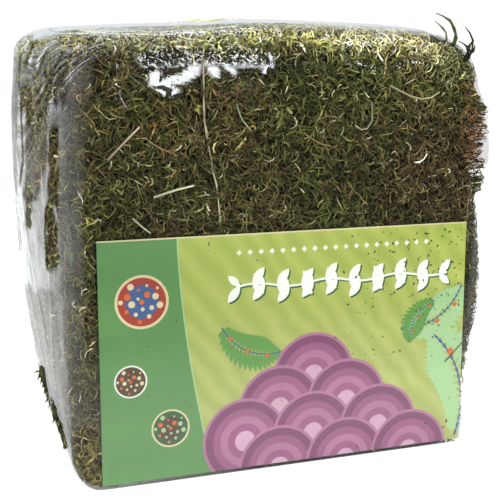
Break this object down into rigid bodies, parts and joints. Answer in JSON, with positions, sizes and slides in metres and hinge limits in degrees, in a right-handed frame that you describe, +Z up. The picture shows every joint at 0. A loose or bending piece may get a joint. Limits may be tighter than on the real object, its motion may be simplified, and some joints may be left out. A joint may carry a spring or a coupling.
{
  "type": "film-wrapped bale of dried moss",
  "caption": "Squarish pressed bale of dried moss in a shrunk clear sleeve, with a wide printed card held flat against the lower part of its front.",
  "frame": {"origin": "centre of the bale's base, at the floor", "axes": "-Y out of the front with the card, +X to the right as seen from the front, +Z up"},
  "size_m": [0.3168, 0.2648, 0.2966],
  "materials": {
    "dried_moss": "dry matted fibres, matt",
    "coated_card": "printed coated card, satin",
    "clear_film": "clear shrunk film, glossy and wrinkled"
  },
  "bodies": {
    "root": {"moss_block": "dried_moss", "printed_card": "coated_card", "film_sleeve": "clear_film"}
  },
  "joints": []
}
